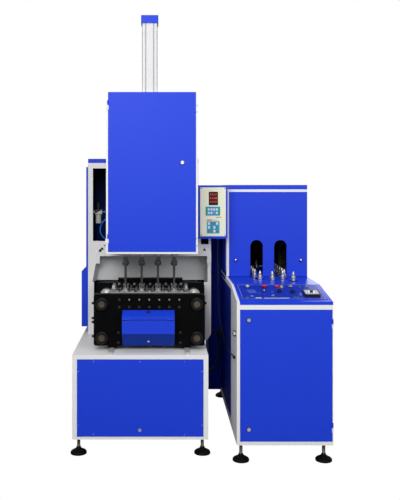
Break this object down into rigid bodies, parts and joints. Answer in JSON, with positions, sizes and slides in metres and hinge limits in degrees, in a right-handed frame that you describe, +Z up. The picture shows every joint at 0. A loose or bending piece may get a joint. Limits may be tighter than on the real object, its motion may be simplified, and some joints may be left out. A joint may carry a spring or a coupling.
{
  "type": "blow moulding machine",
  "caption": "Bottle stretch-blow moulding machine: clamp with split mould and stretch unit beside an infrared preform heater with a sloping console.",
  "frame": {"origin": "on the floor, in the middle of the machine's bounding box", "axes": "+Z up, +Y from the operator's side to the back, +X from the blow unit to the heater"},
  "size_m": [1.338, 1.205, 2.333],
  "materials": {
    "blue_paint": "glossy saturated blue powder coat",
    "plate_blue": "deeper blue satin",
    "white_paint": "satin off-white powder coat",
    "navy_paint": "dark blue powder coat",
    "grey_paint": "satin grey",
    "beige_paint": "satin beige",
    "black_oxide": "black oiled steel",
    "mould_aluminium": "fine machined",
    "anodised": "clear anodised",
    "machined_steel": "turned and ground",
    "hard_chrome": "polished hard chrome",
    "bearing_bronze": "turned bronze",
    "chain_steel": "oiled",
    "mandrel_steel": "turned",
    "black_plastic": "moulded",
    "white_plastic": "moulded",
    "red_plastic": "moulded",
    "lamp_lens": "clear coloured lens",
    "filter_body": "moulded",
    "foot_rubber": "moulded rubber",
    "black_cable": "smooth sheath",
    "blue_hose": "polyurethane tube",
    "quartz": "quartz tube lamps on a bright reflector"
  },
  "bodies": {
    "machine": {"base_frame": "white_paint", "base_front_panel": "blue_paint", "foot_stems": "machined_steel", "foot_pads": "foot_rubber", "tower_frame": "white_paint", "side_covers": "blue_paint", "top_lids": "blue_paint", "clamp_guard": "grey_paint", "upper_cabinet": "white_paint", "cylinder_barrel": "anodised", "cylinder_end_caps": "blue_paint", "carriage_guide_rods": "hard_chrome", "seal_cylinder_block": "anodised", "clamp_rails": "machined_steel", "air_filter": "filter_body", "air_hose_upper": "blue_hose", "air_hose_lower": "blue_hose", "control_box": "blue_paint", "control_panel": "beige_paint", "heater_frame": "white_paint", "console": "blue_paint", "console_plate": "plate_blue", "heater_cover": "blue_paint", "electric_box": "navy_paint", "conveyor_chain": "chain_steel", "sprockets": "chain_steel", "mandrels": "mandrel_steel", "lamp_banks": "quartz", "deck_centre_plate": "blue_paint", "power_regulator": "white_plastic", "console_lamps": "lamp_lens", "control_cable": "black_cable", "power_cable": "black_cable"},
    "front_clamp": {"front_platen": "black_oxide", "tie_bars": "hard_chrome", "platen_fasteners": "black_oxide", "front_mould": "mould_aluminium", "platen_cover": "blue_paint", "rear_platen": "black_oxide", "clamp_cylinder": "anodised"},
    "rear_clamp": {"middle_platen": "black_oxide", "tie_bar_bushings": "bearing_bronze", "clamp_rod": "hard_chrome", "rear_mould": "mould_aluminium"},
    "flap": {"cover_flap": "blue_paint"},
    "stretch_unit": {"stretch_crossbar": "anodised", "stretch_rods": "machined_steel", "stretch_piston_rod": "hard_chrome"},
    "nozzles": {"blow_nozzles": "machined_steel"},
    "cabinet_door": {"upper_door": "blue_paint"},
    "cabinet_lock": {"door_lock": "machined_steel"},
    "front_door": {"heater_door": "blue_paint"},
    "upper_latch": {"heater_latch_upper": "machined_steel"},
    "lower_latch": {"heater_latch_lower": "machined_steel"},
    "start": {"start_button": "white_plastic"},
    "stop": {"stop_button": "red_plastic"},
    "selector": {"selector_switch": "black_plastic"},
    "speed": {"speed_knob": "black_plastic"},
    "timer": {"timer_knob": "black_plastic"},
    "regulator": {"regulator_knob": "black_plastic"}
  },
  "joints": [
    {"name": "mould_open", "type": "slide", "parent": "machine", "child": "front_clamp", "axis": [0, -1, 0], "range_m": [0, 0.075]},
    {"name": "rear_mould_open", "type": "slide", "parent": "machine", "child": "rear_clamp", "axis": [0, 1, 0], "range_m": [0, 0.075]},
    {"name": "flap_hinge", "type": "hinge", "parent": "front_clamp", "child": "flap", "pos_m": [-0.26, -0.4625, 0.6985], "axis": [-1, 0, 0], "range_deg": [0, 100]},
    {"name": "stretch_slide", "type": "slide", "parent": "machine", "child": "stretch_unit", "axis": [0, 0, -1], "range_m": [0, 0.235]},
    {"name": "nozzle_slide", "type": "slide", "parent": "machine", "child": "nozzles", "axis": [0, 0, -1], "range_m": [0, 0.1287]},
    {"name": "upper_door_hinge", "type": "hinge", "parent": "machine", "child": "cabinet_door", "pos_m": [-0.481, -0.3565, 1.47], "axis": [0, 0, -1], "range_deg": [0, 110]},
    {"name": "door_lock_turn", "type": "hinge", "parent": "cabinet_door", "child": "cabinet_lock", "pos_m": [-0.0835, -0.3425, 1.517], "axis": [0, -1, 0], "range_deg": [0, 90]},
    {"name": "heater_door_hinge", "type": "hinge", "parent": "machine", "child": "front_door", "pos_m": [0.6595, -0.5985, 0.442], "axis": [0, 0, 1], "range_deg": [0, 110]},
    {"name": "upper_latch_turn", "type": "hinge", "parent": "front_door", "child": "upper_latch", "pos_m": [0.241, -0.5845, 0.721], "axis": [0, 1, 0], "range_deg": [0, 90]},
    {"name": "lower_latch_turn", "type": "hinge", "parent": "front_door", "child": "lower_latch", "pos_m": [0.241, -0.5845, 0.174], "axis": [0, 1, 0], "range_deg": [0, 90]},
    {"name": "start_press", "type": "slide", "parent": "machine", "child": "start", "axis": [0, 0.1483, -0.9889], "range_m": [0, 0.0035], "stiffness_N_per_m": 400},
    {"name": "stop_press", "type": "slide", "parent": "machine", "child": "stop", "axis": [0, 0.1483, -0.9889], "range_m": [0, 0.0035], "stiffness_N_per_m": 400},
    {"name": "selector_turn", "type": "hinge", "parent": "machine", "child": "selector", "pos_m": [0.494, -0.3565, 0.8477], "axis": [0, -0.1483, 0.9889], "range_deg": [-45, 45]},
    {"name": "speed_turn", "type": "hinge", "parent": "machine", "child": "speed", "pos_m": [0.418, -0.4435, 0.83465], "axis": [0, -0.1483, 0.9889], "range_deg": [-150, 150]},
    {"name": "timer_turn", "type": "hinge", "parent": "machine", "child": "timer", "pos_m": [0.486, -0.4515, 0.83345], "axis": [0, -0.1483, 0.9889], "range_deg": [-150, 150]},
    {"name": "regulator_turn", "type": "hinge", "parent": "machine", "child": "regulator", "pos_m": [0.577, -0.4835, 0.82865], "axis": [0, -0.1483, 0.9889], "range_deg": [-135, 135]}
  ],
  "couplings": [
    {"joint": "rear_mould_open", "follows": "mould_open", "ratio": 1}
  ]
}
